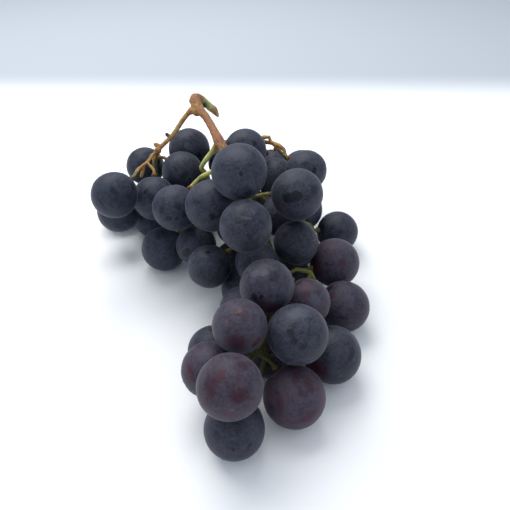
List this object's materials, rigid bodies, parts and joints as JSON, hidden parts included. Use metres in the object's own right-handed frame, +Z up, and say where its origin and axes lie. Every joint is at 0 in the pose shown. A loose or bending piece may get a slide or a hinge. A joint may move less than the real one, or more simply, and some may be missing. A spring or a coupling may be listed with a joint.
{
  "type": "bunch of grapes",
  "caption": "bunch of dark blue-black table grapes on a branched stalk with a short cut stem, lying on its side, to rest on a table, plate or board as fresh fruit",
  "frame": {"origin": "on the surface the bunch lies on, under the middle of its bounding box", "axes": "+Z up; the bunch lies along Y, with its cut stem towards +Y and its tip at -Y, and its left shoulder at -X"},
  "size_m": [0.1564, 0.1962, 0.0874],
  "materials": {
    "grape_skin": "thin blue-black grape skin under a pale blue-grey waxy bloom, rubbed darker and glossier in patches, plum red where it is less ripe",
    "stalk": "green to pinkish brown woody stalk, matt, with brown corky joints, buttons and cut ends"
  },
  "bodies": {
    "root": {"stalk": "stalk", "grape_01": "grape_skin", "grape_02": "grape_skin", "grape_03": "grape_skin", "grape_04": "grape_skin", "grape_05": "grape_skin", "grape_06": "grape_skin", "grape_07": "grape_skin", "grape_08": "grape_skin", "grape_09": "grape_skin", "grape_10": "grape_skin", "grape_11": "grape_skin", "grape_12": "grape_skin", "grape_13": "grape_skin", "grape_14": "grape_skin", "grape_15": "grape_skin", "grape_16": "grape_skin", "grape_17": "grape_skin", "grape_18": "grape_skin", "grape_19": "grape_skin", "grape_20": "grape_skin", "grape_21": "grape_skin", "grape_22": "grape_skin", "grape_23": "grape_skin", "grape_24": "grape_skin", "grape_25": "grape_skin", "grape_26": "grape_skin", "grape_27": "grape_skin", "grape_28": "grape_skin", "grape_29": "grape_skin", "grape_30": "grape_skin", "grape_31": "grape_skin", "grape_32": "grape_skin", "grape_33": "grape_skin", "grape_34": "grape_skin", "grape_35": "grape_skin", "grape_36": "grape_skin", "grape_37": "grape_skin", "grape_38": "grape_skin", "grape_39": "grape_skin", "grape_40": "grape_skin", "grape_41": "grape_skin", "grape_42": "grape_skin", "grape_43": "grape_skin", "grape_44": "grape_skin", "grape_45": "grape_skin", "grape_46": "grape_skin", "grape_47": "grape_skin", "grape_48": "grape_skin", "grape_49": "grape_skin", "grape_50": "grape_skin", "grape_51": "grape_skin", "grape_52": "grape_skin", "grape_53": "grape_skin", "grape_54": "grape_skin", "grape_55": "grape_skin"}
  },
  "joints": []
}
